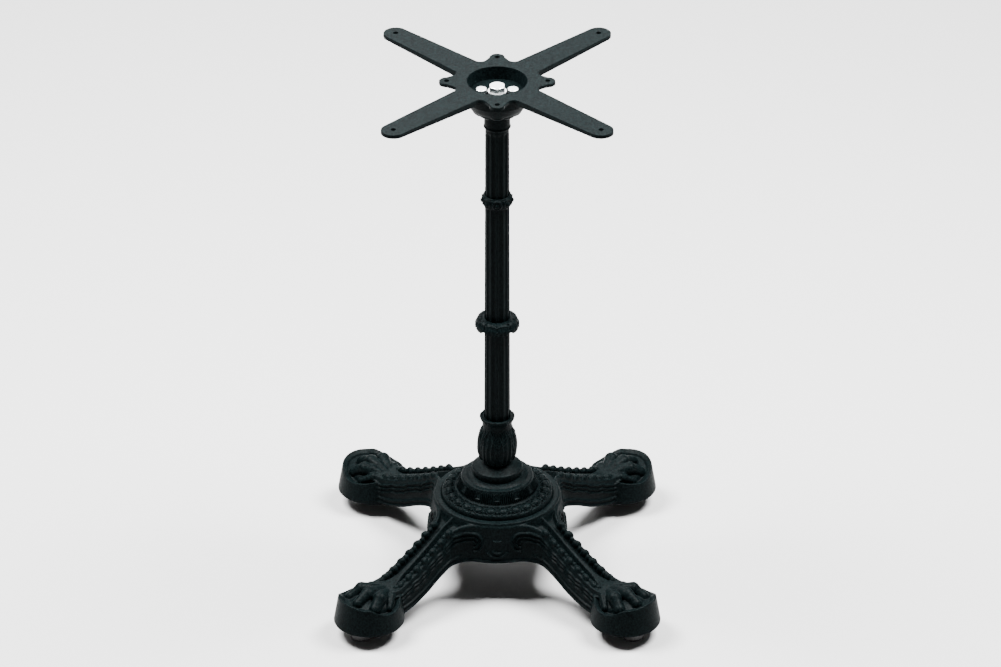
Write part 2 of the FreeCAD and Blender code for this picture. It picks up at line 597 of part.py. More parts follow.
# ---- the assembly -------------------------------------------------------------------------------
os.makedirs("parts", exist_ok=True)
save("top_plate", top_plate())
save("column_head", column_head())
save("side_screws", *side_screws())
save("tie_bolt", tie_bolt())
save("tie_bolt_washer", washer(WASHER_R, CUP_FLOOR_Z, CUP_FLOOR_Z + WASHER_T))
save("fluted_shaft", shaft())
save("upper_collar", collar(UPPER_COLLAR_Z, UPPER_COLLAR_R, UPPER_COLLAR_H))
save("middle_collar", collar(MIDDLE_COLLAR_Z, MIDDLE_COLLAR_R, MIDDLE_COLLAR_H))
save("tulip_socket", tulip())
save("seat_disc", seat_disc())
save("base_washer", washer(PLAIN_WASHER_R, SEAT_UNDER_Z - PLAIN_WASHER_T, SEAT_UNDER_Z))
save("spring_washer", spring_washer())
save("tie_nut", tie_nut())
save("base_casting", base_casting())
for corner, degrees in CORNERS:
    save(f"leveller_stud_{corner}", at_corner(leveller_stud(), degrees))
    save(f"leveller_pad_{corner}", at_corner(leveller_pad(), degrees))
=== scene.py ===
"""The looks of the ornate cast-iron pedestal table base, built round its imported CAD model.

Sculpting is in millimetres in the model's own frame: Z up, the floor at 0, the front towards -Y.
The base casting is a signed distance field, negative inside, sampled on voxels and turned into a mesh.
It is made for one leg, which lies along +X of its own frame, and shown four times.
The column's pieces and the hub's ornamental rings are turned surfaces with relief on them.
"""
import math

import bpy
import numpy as np
import openvdb
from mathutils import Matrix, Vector


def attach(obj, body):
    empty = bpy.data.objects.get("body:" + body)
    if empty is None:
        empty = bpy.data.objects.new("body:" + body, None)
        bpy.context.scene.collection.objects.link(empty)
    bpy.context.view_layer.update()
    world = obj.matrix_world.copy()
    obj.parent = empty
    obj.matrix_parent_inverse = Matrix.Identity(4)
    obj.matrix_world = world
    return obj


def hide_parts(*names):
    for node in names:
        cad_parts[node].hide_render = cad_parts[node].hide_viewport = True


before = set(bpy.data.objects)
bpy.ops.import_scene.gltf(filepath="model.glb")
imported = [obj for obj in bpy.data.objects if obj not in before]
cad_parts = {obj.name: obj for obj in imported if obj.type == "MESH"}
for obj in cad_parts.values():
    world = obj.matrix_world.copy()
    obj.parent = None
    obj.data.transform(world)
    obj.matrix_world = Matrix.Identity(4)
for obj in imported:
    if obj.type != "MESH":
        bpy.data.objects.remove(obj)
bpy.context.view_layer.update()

MM = 0.001
LEG_TURNS = (45.0, 135.0, 225.0, 315.0)
CUT_SHIFT = 0.05                # degrees off the symmetry plane, so that no face is on the cut by a hair
WELD = 0.02                     # points closer than this share of a voxel are one point
OVERLAP = 3                     # voxels by which the modelled quarter reaches past its share
BODY = "table_base"

# ---- the casting's dimensions, as in the CAD ------------------------------------------------------
VOXEL = 0.95
# a leg's upper and lower edge, as (distance from the axis, height)
LEG_TOP = ((55, 112), (82, 109), (99, 102), (127, 87), (155, 73.5), (177, 64), (195, 58.5), (212, 58),
           (245, 58))
LEG_BOTTOM = ((55, 58), (90, 57.5), (127, 46.5), (155, 33), (180, 24.5), (245, 20))
LEG_HALF = (21.0, 16.5)         # half width low down and at the top
LEG_END = 226.0
CORNER_R = 24.0                 # fillet in plan between two legs' walls and the skirt
SKIRT = (90.0, 84.0)            # radius at its lower and upper edge
SKIRT_Z = (57.0, 107.0)
WALL = 6.0
RIM = (73.0, 81.5)              # inner and outer radius of the flat rim round the hub
RIM_Z = 112.5
RIM_H = 12.0
BORDER = 4.3                    # width of the raised border along a leg's edges
TROUGH = 8.0                    # depth of the troughs between the borders and the middle ridge
TROUGH_SIDE = 4.2               # width of a trough's rounded side
TROUGH_R = 82.5                 # the troughs start at this distance from the axis
# the hub's top under its ornamental rings, as (distance from the axis, height)
HUB_TOP = ((0, 137), (44.5, 137), (45.5, 136), (52, 121), (56, 119.5), (64, 117.5), (70, 111), (72, 108),
           (95, 108))
# the hollow under the hub, in the same way
DOME = ((70, 90), (53, 110), (38, 126.5))
ROOF = 10.0                     # thickness of a leg's top over its hollow
FOOT_X = 233.9                  # distance of a foot's centre from the axis
FOOT_Z = 20.0
FOOT_R = (46.0, 37.0)           # radius at its lower edge, and FOOT_CONE_H above it
FOOT_CONE_H = 52.0
FOOT_ROOF = 14.0                # from the foot's lip down to its hollow
DISH = (7.0, 0.32)              # width and slope of the band inside the lip
DISH_STEP = (6.5, 8.5, 1.8)     # where the step down to the paw starts and ends, and its depth
LIP = (42.7, 0.08, 0.33, 10.0)  # the lip's height: level, tilt, rise to both ends and width of the dip
SEAT_UNDER_Z = DOME[-1][1]
BOSS_X = FOOT_X + 14.0
BOSS_R = 11.0
BOSS_TOP = 44.0
STUD_HOLE_R = 4.2
BOLT_HOLE_R = 6.8

# ---- the casting's ornament -----------------------------------------------------------------------
SCROLL_START = 32.0             # the scrolls' centres, along the wall from the middle of the skirt
SCROLL_DROP = 19.5              # depth of their middle line below the leg's upper edge
SCROLL_LEVELS = (1.5, 7.0, 12.5)        # the raised lines' distances from that middle line
WAVES = ((0.55, 15.0, 0.0), (0.9, 37.0, 1.0))       # the lines' waves: height, length, phase
LINE_W = 2.2
LINES_END = (168, 180)          # the lines fade out between these distances along the wall
CRESCENTS = (10.0, 16.0)        # radii of the crescents on the skirt
CRESCENT_Z = 82.0
MARK_Z = 88.0                   # height of the small curved mark over them
BEADS = 14
BEAD_START, BEAD_PITCH = 103.0, 7.3     # the beads' places along the leg
BIG_BEAD = ((6.6, 4.6, 5.8), 2.4)       # its three radii, and how far it is in from the leg's edge
SMALL_BEAD = ((3.6, 3.4, 4.4), 3.6)
# points along a toe: outward of the foot's centre, aside from it, height, radius
MIDDLE_TOE = ((-26, 0, 53, 6.0), (-10, 0, 57, 8.2), (2, 0, 59, 9.0), (12, 0, 56, 7.2), (20, 0, 51.5, 7.4),
              (27, 0, 47, 3.0))
SIDE_TOE = ((-26, 7, 52, 6.0), (-12, 12, 56, 8.0), (-3, 17, 57.5, 9.0), (5, 20, 53, 7.2),
            (11, 22.5, 48.5, 7.6), (17, 26, 44.5, 3.0))
THUMB = ((-22, 19, 53.5, 5.4), (-8, 28.5, 45.5, 4.8))
PALM_X, PALM_Z = FOOT_X - 2, 43
PALM_RADII = (29, 30, 13)


# ---- numbers ------------------------------------------------------------------------------------
def smooth(points):
    """A smooth curve through points, as a function."""
    xs, ys = np.array(points, float).T
    slopes = np.gradient(ys, xs)

    def value(x):
        i = np.clip(np.searchsorted(xs, x) - 1, 0, len(xs) - 2)
        width = xs[i + 1] - xs[i]
        u = np.clip((x - xs[i]) / width, 0, 1)
        ends = (1 + 2 * u) * (1 - u) ** 2 * ys[i] + u ** 2 * (3 - 2 * u) * ys[i + 1]
        return (ends + width * u * (1 - u) * ((1 - u) * slopes[i] - u * slopes[i + 1])).astype(np.float32)

    return value


leg_top, leg_bottom, hub_top = smooth(LEG_TOP), smooth(LEG_BOTTOM), smooth(HUB_TOP)


def union(a, b, blend):
    """Joins two fields with a fillet about as wide as blend."""
    share = np.clip(0.5 + 0.5 * (b - a) / blend, 0, 1)
    return b + (a - b) * share - blend * share * (1 - share)


def common(a, b, blend):
    """The overlap of two fields, with a rounded edge about as wide as blend."""
    return -union(-a, -b, blend)


def fillet_union(a, b, radius):
    """Joins two fields that cross squarely with a fillet of exactly that radius."""
    inner = np.hypot(np.maximum(radius - a, 0), np.maximum(radius - b, 0))
    return np.maximum(radius, np.minimum(a, b)) - inner


def step_up(value, low, high):
    """0 below low, 1 above high, smooth between."""
    u = np.clip((value - low) / (high - low), 0, 1)
    return u * u * (3 - 2 * u)


def line(distance, width):
    """A raised line's profile: 1 on the line, 0 at a distance of about width."""
    return np.exp(-(distance / (0.55 * width)) ** 2)


def ellipsoid(centre, radii, turn=0.0):
    """A field for an ellipsoid, turned in plan by so many degrees."""
    c, s = math.cos(math.radians(turn)), math.sin(math.radians(turn))

    def field(x, y, z):
        dx, dy, dz = x - centre[0], y - centre[1], z - centre[2]
        along, across = dx * c + dy * s, dy * c - dx * s
        scaled = np.sqrt((along / radii[0]) ** 2 + (across / radii[1]) ** 2 + (dz / radii[2]) ** 2)
        return (scaled - 1) * min(radii)

    return field


def finger(start, end, r0, r1):
    """A field for a tapered finger with round ends."""
    start, end = np.array(start, float), np.array(end, float)
    along = end - start
    length2 = float(along @ along)

    def field(x, y, z):
        dx, dy, dz = x - start[0], y - start[1], z - start[2]
        u = np.clip((dx * along[0] + dy * along[1] + dz * along[2]) / length2, 0, 1)
        gap = np.sqrt((dx - u * along[0]) ** 2 + (dy - u * along[1]) ** 2 + (dz - u * along[2]) ** 2)
        return gap - (r0 + (r1 - r0) * u)

    return field


# ---- voxels and meshes --------------------------------------------------------------------------
class Block:
    """A box of voxels holding a field."""

    def __init__(self, low, high, step):
        self.step = step
        self.axes = [np.arange(math.floor(a / step), math.ceil(b / step) + 1, dtype=np.float32) * step
                     for a, b in zip(low, high)]
        self.x, self.y, self.z = np.meshgrid(*self.axes, indexing="ij", sparse=True)
        self.d = np.full([len(a) for a in self.axes], 1e3, np.float32)

    def near(self, centre, reach):
        """The slices within reach of centre, with their coordinates."""
        cut = tuple(slice(*np.searchsorted(a, (c - reach, c + reach))) for a, c in zip(self.axes, centre))
        return cut, np.meshgrid(*(a[s] for a, s in zip(self.axes, cut)), indexing="ij", sparse=True)

    def add(self, field, centre, reach, blend):
        """Joins on a small field that ends within reach of centre."""
        cut, xyz = self.near(centre, reach)
        self.d[cut] = union(self.d[cut], field(*xyz), blend)

    def mesh(self):
        """Vertices in millimetres and faces of the surface where the field is 0."""
        band = 3 * self.step
        grid = openvdb.FloatGrid(band)
        grid.copyFromArray(np.clip(self.d, -band, band))
        points, quads = grid.convertToQuads(0.0)
        low = np.array([a[0] for a in self.axes])
        return points * self.step + low, quads[:, ::-1]


def mesh_object(name, points, faces):
    """A smooth-shaded mesh object from points in millimetres and four-sided faces."""
    mesh = bpy.data.meshes.new(name)
    mesh.vertices.add(len(points))
    mesh.vertices.foreach_set("co", (np.asarray(points) * MM).astype(np.float32).ravel())
    mesh.loops.add(4 * len(faces))
    mesh.loops.foreach_set("vertex_index", np.asarray(faces, np.int32).ravel())
    mesh.polygons.add(len(faces))
    mesh.polygons.foreach_set("loop_start", np.arange(0, 4 * len(faces), 4, dtype=np.int32))
    mesh.polygons.foreach_set("use_smooth", np.ones(len(faces), bool))
    mesh.update(calc_edges=True)
    mesh.validate()
    made = bpy.data.objects.new(name, mesh)
    bpy.context.scene.collection.objects.link(made)
    return made


def four_turns(points, faces):
    """Four copies of a quarter, a right angle apart, cut where they meet and joined there point to point.

    The quarter reaches past its share, and its points lie on a grid that a quarter turn maps onto itself.
    """
    middle = points[faces].mean(1)
    angle = np.degrees(np.arctan2(middle[:, 1], middle[:, 0]))
    faces = faces[(angle >= -45 + CUT_SHIFT) & (angle < 45 + CUT_SHIFT)]
    copies = []
    for turn in LEG_TURNS:
        c, s = math.cos(math.radians(turn)), math.sin(math.radians(turn))
        copies.append(points @ np.array([[c, s, 0], [-s, c, 0], [0, 0, 1]]))
    everything = np.concatenate(copies)
    everyface = np.concatenate([faces + k * len(points) for k in range(4)])
    used, first = np.unique(everyface, return_inverse=True)
    keys = np.round(everything[used] / (WELD * VOXEL)).astype(np.int64)
    _, keep, same = np.unique(keys, axis=0, return_index=True, return_inverse=True)
    return everything[used][keep], same.ravel()[first].reshape(-1, 4)


def turned(name, profile, relief, around=360, spacing=0.6):
    """A closed ring turned about the Z axis from a closed profile of (radius, z).

    relief(angle, radius, z) is how far the surface is pushed out along its normal.
    """
    loop = np.array(profile + profile[:1], float)
    lengths = np.hypot(*np.diff(loop, axis=0).T)
    counts = np.maximum(1, np.round(lengths / spacing)).astype(int)
    points = np.concatenate([a + (b - a) * np.linspace(0, 1, n, endpoint=False)[:, None]
                             for a, b, n in zip(loop, loop[1:], counts)])
    ahead, behind = np.roll(points, -1, 0), np.roll(points, 1, 0)
    tangent = (ahead - behind) / np.linalg.norm(ahead - behind, axis=1)[:, None]
    normal = np.stack([-tangent[:, 1], tangent[:, 0]], 1)
    angle = np.linspace(0, 2 * math.pi, around, endpoint=False)[None, :]
    push = relief(angle, points[:, :1], points[:, 1:])
    r = points[:, :1] + normal[:, :1] * push
    z = points[:, 1:] + normal[:, 1:] * push
    xyz = np.stack([r * np.cos(angle), r * np.sin(angle), z * np.ones_like(angle)], -1).reshape(-1, 3)
    i, j = np.meshgrid(np.arange(len(points)), np.arange(around), indexing="ij")
    i2, j2 = (i + 1) % len(points), (j + 1) % around
    corners = (i * around + j, i2 * around + j, i2 * around + j2, i * around + j2)
    return mesh_object(name, xyz, np.stack(corners, -1).reshape(-1, 4))


def no_relief(angle, r, z):
    return 0 * angle * r


def arc(centre, radii, start, end, count=12):
    """Profile points on an ellipse's arc, from start to end in degrees."""
    turns = [math.radians(a) for a in np.linspace(start, end, count)]
    return [(centre[0] + radii[0] * math.cos(t), centre[1] + radii[1] * math.sin(t)) for t in turns]


# ---- the base casting ---------------------------------------------------------------------------
def plan_field(x, y, z, radius, half):
    """The hub's circle and one leg's strip in plan, joined with the corner fillet."""
    return fillet_union(np.hypot(x, y) - radius, np.abs(y) - half, CORNER_R)


def leg_sides(x, y, z, inset=0.0):
    """The plan outline at each height, with its slanting sides."""
    up = (z - SKIRT_Z[0]) / (SKIRT_Z[1] - SKIRT_Z[0])
    radius = SKIRT[0] + (SKIRT[1] - SKIRT[0]) * up - inset
    half = LEG_HALF[0] + (LEG_HALF[1] - LEG_HALF[0]) * np.clip(up, -0.8, 1) - inset
    return plan_field(x, y, z, radius, half)


def along_wall(x, y):
    """Distance along the wall from the middle of the skirt, round the corner and out along the leg."""
    y = np.abs(y)
    across = LEG_HALF[0] + CORNER_R
    reach = math.sqrt((SKIRT[0] + CORNER_R) ** 2 - across ** 2)
    touch = math.atan2(across, reach)
    sweep = math.pi / 2 - touch
    first = SKIRT[0] * (math.pi / 4 - touch)
    around_hub = np.arctan2(y, x)
    on_skirt = SKIRT[0] * (math.pi / 4 - around_hub)
    on_corner = first + CORNER_R * np.clip(sweep - np.arctan2(reach - x, across - y), 0, sweep)
    on_leg = first + CORNER_R * sweep + x - reach
    return np.where(around_hub > touch, on_skirt, np.where(x < reach, on_corner, on_leg)).astype(np.float32)


def wall_lines(x, y, z, rho):
    """The legs' wavy raised lines, which curl over beside the skirt's middle, and the edge below them."""
    p, low = along_wall(x, y), leg_bottom(rho)
    spine = leg_top(np.maximum(rho, 92)) - SCROLL_DROP
    wave = sum(height * np.sin(p * (2 * math.pi / length) + phase) for height, length, phase in WAVES)
    before = np.minimum(p - SCROLL_START, 0)
    gap = np.hypot(before, z - spine) * np.where(z < spine, -1, 1)
    curl = np.where(p < SCROLL_START, np.abs(gap), gap) + wave * step_up(p, 45, 60)
    lines = sum(line(curl - level, LINE_W) for level in SCROLL_LEVELS)
    lines = lines + line(z - low - 10.0, LINE_W) * step_up(p, 44, 56)
    fade = 1 - step_up(p, *LINES_END)
    lines = lines * step_up(z, low + 6, low + 9) * fade
    edge = line(z - low - 3.0, 2.8) * fade
    return 3.0 * lines + 2.4 * edge + skirt_lines(p, z)


def skirt_lines(p, z):
    """Two crescents in the middle of the skirt, p along the wall from there, and a small mark over them."""
    crescents = sum(line(np.hypot(p, (z - CRESCENT_Z) * 1.05) - radius, 2.0) for radius in CRESCENTS)
    crescents = crescents * (1 - step_up(z, 72, 76)) * (np.abs(p) < 22)
    mark = line(z - MARK_Z - 0.05 * p * p * (np.abs(p) < 6), 1.6) * (np.abs(p) < 6)
    return 2.8 * crescents + 2.2 * mark


def leg_block(block):
    """The hub's skirt and one leg with its borders, its middle ridge and the troughs between them."""
    x, y, z = block.x, block.y, block.z
    rho = np.hypot(x, y)
    sides = leg_sides(x, y, z)
    sides = sides - wall_lines(x, y, z, rho) * step_up(leg_top(rho) - z, 2.5, 6)
    top_outline = plan_field(x, y, z, SKIRT[1], LEG_HALF[1])
    # the ridge's half width grows along the leg, until the ridge fills the ankle
    ridge = 1.0 + 2.2 * step_up(x, 88, 185) + 10.0 * step_up(x, 172, 214)
    inward = np.minimum(-top_outline - BORDER, np.minimum(np.abs(y) - ridge, rho - TROUGH_R))
    trough = TROUGH * np.sin(np.clip(inward / TROUGH_SIDE, 0, 1) * (math.pi / 2))
    trough = trough * (1 - step_up(x, 195, 214))
    top = (z - leg_top(rho) + trough) * 0.8
    body = common(common(sides, top, 2.0), (leg_bottom(rho) - z) * 0.9, 1.6)
    return common(body, x - LEG_END, 6.0)


def leg_core(block):
    """The hollow under the hub and the leg."""
    x, y, z = block.x, block.y, block.z
    rho = np.hypot(x, y)
    roof = (z - leg_top(rho) + ROOF) * 0.8
    core = common(leg_sides(x, y, z, WALL), roof, 3.0)
    dome_radii, dome_heights = zip(*DOME)
    dome_r = np.interp(z.ravel(), dome_heights, dome_radii).astype(np.float32).reshape(z.shape)
    dome = np.maximum(rho - dome_r, z - SEAT_UNDER_Z)
    return common(union(core, dome, 3.0), x - LEG_END + 12, 4.0)


def hub_body(block):
    """The hub's stepped top, just under the ornamental rings, and its flat rim."""
    rho, z = np.hypot(block.x, block.y), block.z
    steps = np.maximum((z - hub_top(rho)) * 0.6, rho - 74)
    steps = np.maximum(steps, 100 - z)
    middle, half = (RIM[0] + RIM[1]) / 2, (RIM[1] - RIM[0]) / 2
    rim = common(np.abs(rho - middle) - half, np.abs(z - RIM_Z + RIM_H / 2) - RIM_H / 2, 1.4)
    return np.minimum(steps, rim)


def foot_radius(z):
    return FOOT_R[0] + (FOOT_R[1] - FOOT_R[0]) * (z - FOOT_Z) / FOOT_CONE_H


def lip_height(x, y):
    """Height of the foot's lip: lowest beside the foot's centre, rising outward and towards the ankle."""
    level, tilt, rise, dip = LIP
    tip = 2.5 * line(np.abs(np.arctan2(y, x)) - math.radians(50), math.radians(24))
    return level + tilt * x + rise * np.sqrt(x * x + dip * dip) + tip


def foot_cup(block):
    """The foot's outer cup, whose band slopes inward from a sharp edge to the dish round the paw."""
    x, y, z = block.x - FOOT_X, block.y, block.z
    inward = foot_radius(z) - np.hypot(x, y)
    dish = DISH[1] * np.clip(inward, 0, DISH[0]) + DISH_STEP[2] * step_up(inward, *DISH_STEP[:2])
    return common(common(-inward, (z - lip_height(x, y) + dish) * 0.85, 0.8), FOOT_Z - z, 2.0)


def foot_core(block):
    """The hollow under the foot."""
    x, y, z = block.x - FOOT_X, block.y, block.z
    return common(np.hypot(x, y) - foot_radius(z) + WALL, (z - lip_height(x, y) + FOOT_ROOF) * 0.9, 4.0)


def paw():
    """The foot's palm, its three toes and two thumbs, as (field, centre, reach, blend)."""
    palm = (PALM_X, 0, PALM_Z)
    made = [(ellipsoid(palm, PALM_RADII), palm, 34, 2.0)]
    for path, sides in ((MIDDLE_TOE, (1,)), (SIDE_TOE, (-1, 1)), (THUMB, (-1, 1))):
        for side in sides:
            spots = [(FOOT_X + x, side * y, z) for x, y, z, _ in path]
            sizes = [size for *_, size in path]
            for k in range(len(path) - 1):
                centre = [(a + b) / 2 for a, b in zip(spots[k], spots[k + 1])]
                made.append((finger(spots[k], spots[k + 1], sizes[k], sizes[k + 1]), centre, 24, 0.8))
    return made


def beads():
    """The rows of beads on one leg's borders, big and small by turns, as (field, centre, reach, blend)."""
    made = []
    for k in range(BEADS):
        x = BEAD_START + BEAD_PITCH * k
        z = float(leg_top(np.array([x]))[0])
        radii, inward = SMALL_BEAD if k % 2 else BIG_BEAD
        for side in (-1, 1):
            centre = (x, side * (LEG_HALF[1] - inward), z - 1.2)
            made.append((ellipsoid(centre, radii, side * 16), centre, 11, 0.5))
    return made


def drill(block):
    """Adds the boss over the leveller, and cuts the leveller's hole and the tie bolt's."""
    from_boss = np.hypot(block.x - BOSS_X, block.y)
    boss = np.maximum(from_boss - BOSS_R, np.maximum(FOOT_Z - block.z, block.z - BOSS_TOP))
    block.d = union(block.d, boss, 2.0)
    stud_hole = np.maximum(from_boss - STUD_HOLE_R, block.z - BOSS_TOP)
    bolt_hole = np.hypot(block.x, block.y) - BOLT_HOLE_R
    block.d = np.maximum(block.d, -np.minimum(stud_hole, bolt_hole))


def leg_quarter():
    """Vertices and faces of one leg with its foot and its quarter of the hub."""
    block = Block((0, -72, 14), (FOOT_X + 50, 72, 145), VOXEL)
    block.d = leg_block(block)
    for field, centre, reach, blend in beads():
        block.add(field, centre, reach, blend)
    block.d = union(block.d, hub_body(block), 1.5)
    block.d = union(block.d, foot_cup(block), 3.0)
    block.d = common(block.d, -union(leg_core(block), foot_core(block), 4.0), 1.0)
    for field, centre, reach, blend in paw():
        block.add(field, centre, reach, blend)
    drill(block)
    quarter = (np.abs(block.y) - block.x) * 0.7 - OVERLAP * VOXEL
    block.d = np.maximum(block.d, quarter)
    return block.mesh()


def base_casting():
    points, faces = four_turns(*leg_quarter())
    return mesh_object("casting_body", points, faces)


# ---- the hub's ornamental rings -----------------------------------------------------------------
DRUM_Z = (123.5, 138.0)         # lower and upper edge of the reeds
REEDS = 120
PANELS = 12                     # bracket-shaped motifs round the drum
DRUM_R = 49.0
EGGS = 24
EGG_R = 63.5                    # distance of the eggs' centres from the axis
EGG_SIZE = (5.6, 6.4)           # an egg's half width round the band and across it
BAND_R = 63.0                   # radius on which widths round the band are measured


def near_repeat(angle, count, offset=0.0):
    """Angle from the nearest of so many evenly spaced repeats, in radians."""
    pitch = 2 * math.pi / count
    return (angle - offset + pitch / 2) % pitch - pitch / 2


def drum_relief(angle, r, z):
    """Fine upright reeds with a bracket-shaped motif in each panel."""
    tall = DRUM_Z[1] - DRUM_Z[0]
    height = (z - DRUM_Z[0]) / tall
    on_drum = step_up(height, 0.02, 0.10) * (1 - step_up(height, 0.88, 0.97)) * (r > 45.2) * (r < 54.5)
    reeds = 1.0 * np.cos(angle * REEDS)
    across = near_repeat(angle, PANELS) * DRUM_R
    bracket = np.maximum(np.abs(across) - 3.4, np.abs(height - 0.60) * tall - 4.4)
    ring = line(bracket, 1.5) * (height < 0.86)
    inside = bracket < 0
    return on_drum * (np.where(inside | (ring > 0.2), -0.5, reeds) + 1.3 * ring)


def band_relief(angle, r, z):
    """Eggs in their shells round the band, with a dart and a small leaf between each two."""
    on_band = step_up(r, 54.5, 57) * (1 - step_up(r, 69.5, 71.5)) * (z > 108)
    egg_at = near_repeat(angle, EGGS, math.pi / EGGS) * BAND_R
    egg = np.sqrt(np.clip(1 - (egg_at / EGG_SIZE[0]) ** 2 - ((r - EGG_R) / EGG_SIZE[1]) ** 2, 0, 1))
    shell = line(np.hypot(egg_at / 6.6, (r - BAND_R) / 7.6) - 1.0, 0.16)
    dart_at = near_repeat(angle, EGGS) * BAND_R
    dart = line(dart_at, 2.2) * step_up(r, 58, 60)
    leaf = line(np.hypot(dart_at / 2.6, (r - 66.5) / 3.2) - 0.6, 0.5)
    return on_band * (3.4 * egg + 2.0 * shell + 1.8 * dart + 1.4 * leaf - 2.3)


def hub_relief(angle, r, z):
    return drum_relief(angle, r, z) + band_relief(angle, r, z)


def hub_rings():
    """The seat's recess, the reeded drum and the band of eggs and darts, as one thin closed ring."""
    recess = [(7.0, 138.4), (30.0, 138.4), (31.0, 136.0), (35.4, 136.0), (35.8, 139.9)]
    drum = [(36.5, 140.5), (45.6, 140.5), (46.5, 139.6), (52.6, 124.0), (53.4, 123.0), (55.0, 122.6)]
    band = arc((62.5, 114.0), (9.6, 9.0), 118, 8, 22) + [(72.6, 110.5), (74.5, 110.0)]
    under = [(74.5, 106.5), (68.0, 107.0), (55.0, 116.5), (50.0, 121.0), (43.5, 134.0), (34.0, 134.0),
             (7.0, 134.0)]
    return turned("casting_hub_rings", recess + drum + band + under, hub_relief, 1440, 0.45)


# ---- the column ---------------------------------------------------------------------------------
SHAFT = ((196.0, 16.9), (687.3, 15.1))      # (height, radius) at the shaft's two ends
BORE_R = 8.5                                # bore of the shaft, the tulip and the seat disc
FLUTES = 12
FLUTE_DEPTH = 1.9
FLUTE_HALF = 0.40                           # a flute's half width, as a share of the flutes' pitch
NECK_Z = 653.3                              # lower end of the plain neck
NECK_R = 16.6
HEAD_Z = (675.3, 697.3)                     # the bowl's lower and upper face
HEAD_R = (20.0, 41.5)
SOCKET_DEPTH = 12.0
HEAD_LEAVES = 12
UPPER_COLLAR = (548.5, 19.9, 16.0)          # height of its middle, outer radius, height
MIDDLE_COLLAR = (366.0, 28.7, 19.0)
FLOWERS = 8                                 # on the upper collar
COLLAR_LEAVES = 10                          # on the middle collar
TULIP_Z = (160.0, 215.0, 229.0)             # its foot, its throat and the top of its lip
# the tulip's outline from its foot up, as (height above the foot, radius)
TULIP_SIDE = ((0, 16.5), (3, 19.6), (7, 22.0), (22, 25.8), (40, 23.4), (50, 20.2), (55, 19.2), (60, 19.8),
              (64, 21.4), (66.5, 22.7))
TULIP_LEAVES = 6                            # in each of two layers
TULIP_REEDS = 24
LIP_LOBES = 9
FIT = 0.1                                   # gap between two pieces that fit together


def shaft_radius(z):
    """The tapered shaft's radius at a height."""
    (z0, r0), (z1, r1) = SHAFT
    return r0 + (r1 - r0) * (z - z0) / (z1 - z0)


def flutes(angle, r, z):
    """Flutes with tapered ends, between the tulip and the neck."""
    across = near_repeat(angle, FLUTES, math.pi / FLUTES) * FLUTES / (2 * math.pi) / FLUTE_HALF
    ends = step_up(z, 221, 226) * (1 - step_up(z, NECK_Z - 9, NECK_Z - 3)) * (r > BORE_R + 3.5)
    return -FLUTE_DEPTH * np.sqrt(np.clip(1 - across ** 2, 0, 1)) * ends


def fluted_shaft():
    """The tapered shaft, with a bead under its plain neck."""
    low, high = SHAFT[0][0], SHAFT[1][0]
    neck = shaft_radius(NECK_Z)
    outer = [(BORE_R, high), (NECK_R - 0.6, high), (NECK_R, high - 0.6), (NECK_R, NECK_Z + 3.4)]
    outer += arc((NECK_R - 0.5, NECK_Z + 2.2), (1.3, 1.6), 50, -50, 5)
    outer += [(neck + 0.2, NECK_Z), (neck, NECK_Z - 0.8), (shaft_radius(low), low), (BORE_R, low)]
    return turned("shaft", outer, flutes, 480, 1.2)


def head_relief(angle, r, z):
    """A ring of small leaves round the bowl's foot."""
    low = HEAD_Z[0]
    foot = step_up(z, low + 0.7, low + 1.7) * (1 - step_up(z, low + 6.2, low + 8.7)) * (r > HEAD_R[0] - 2)
    across = near_repeat(angle, HEAD_LEAVES) * 24
    return 1.5 * foot * np.sqrt(np.clip(1 - (across / 5.6) ** 2, 0, 1))


def column_head():
    """The bowl under the plate, with the shaft's socket in its foot."""
    low, high = HEAD_Z
    bowl = smooth(((HEAD_R[0], low + 0.8), (24.0, low + 1.8), (30.0, low + 5.0), (37.0, low + 12.5),
                   (HEAD_R[1], high)))
    socket, roof = NECK_R + FIT, low + SOCKET_DEPTH
    radii = np.linspace(HEAD_R[1], HEAD_R[0], 16)
    outer = [(BOLT_HOLE_R, high)] + [(float(r), float(bowl(r))) for r in radii]
    outer += [(HEAD_R[0] - 1.0, low), (socket, low), (socket, roof), (BOLT_HOLE_R, roof)]
    return turned("column_bowl", outer, head_relief, 360, 0.8)


def collar_profile(spec, bulge):
    """A closed ring round the tapered shaft.

    bulge is its outer side, as (share of the radius, share of half the height).
    """
    z, radius, height = spec
    half = height / 2
    (r0, z0), (r1, z1) = [(shaft_radius(z + side * half) + FIT, z + side * half) for side in (1, -1)]
    outer = [(radius * share, z + half * up) for share, up in bulge]
    return [(r0, z0), (r0 + 1.2, z0)] + outer + [(r1 + 0.3, z1), (r1, z1)]


def upper_collar():
    """A ring of round flowers."""
    z0, radius, height = UPPER_COLLAR

    def flowers(angle, r, z):
        outside = step_up(r, radius - 3.2, radius - 1.4)
        up = (z - z0) / (height / 2)
        across = near_repeat(angle, FLOWERS) * FLOWERS / math.pi
        away = np.sqrt((across / 0.92) ** 2 + (up / 0.98) ** 2)
        flower = np.sqrt(np.clip(1 - away ** 2, 0, 1))
        petals = 0.9 * line(away - 0.80, 0.20) * step_up(up, -0.5, 0.1)
        heart = np.sqrt(np.clip(1 - (across / 0.36) ** 2 - ((up + 0.1) / 0.34) ** 2, 0, 1))
        groove = 0.8 * line(away - 0.5, 0.2)
        return outside * (1.4 * flower + petals + 1.2 * heart - groove - 1.1)

    bulge = ((0.89, 0.98), (0.97, 0.74), (1.0, 0.30), (1.0, -0.30), (0.97, -0.74), (0.89, -0.98))
    return turned("collar_upper", collar_profile(UPPER_COLLAR, bulge), flowers, 480, 0.4)


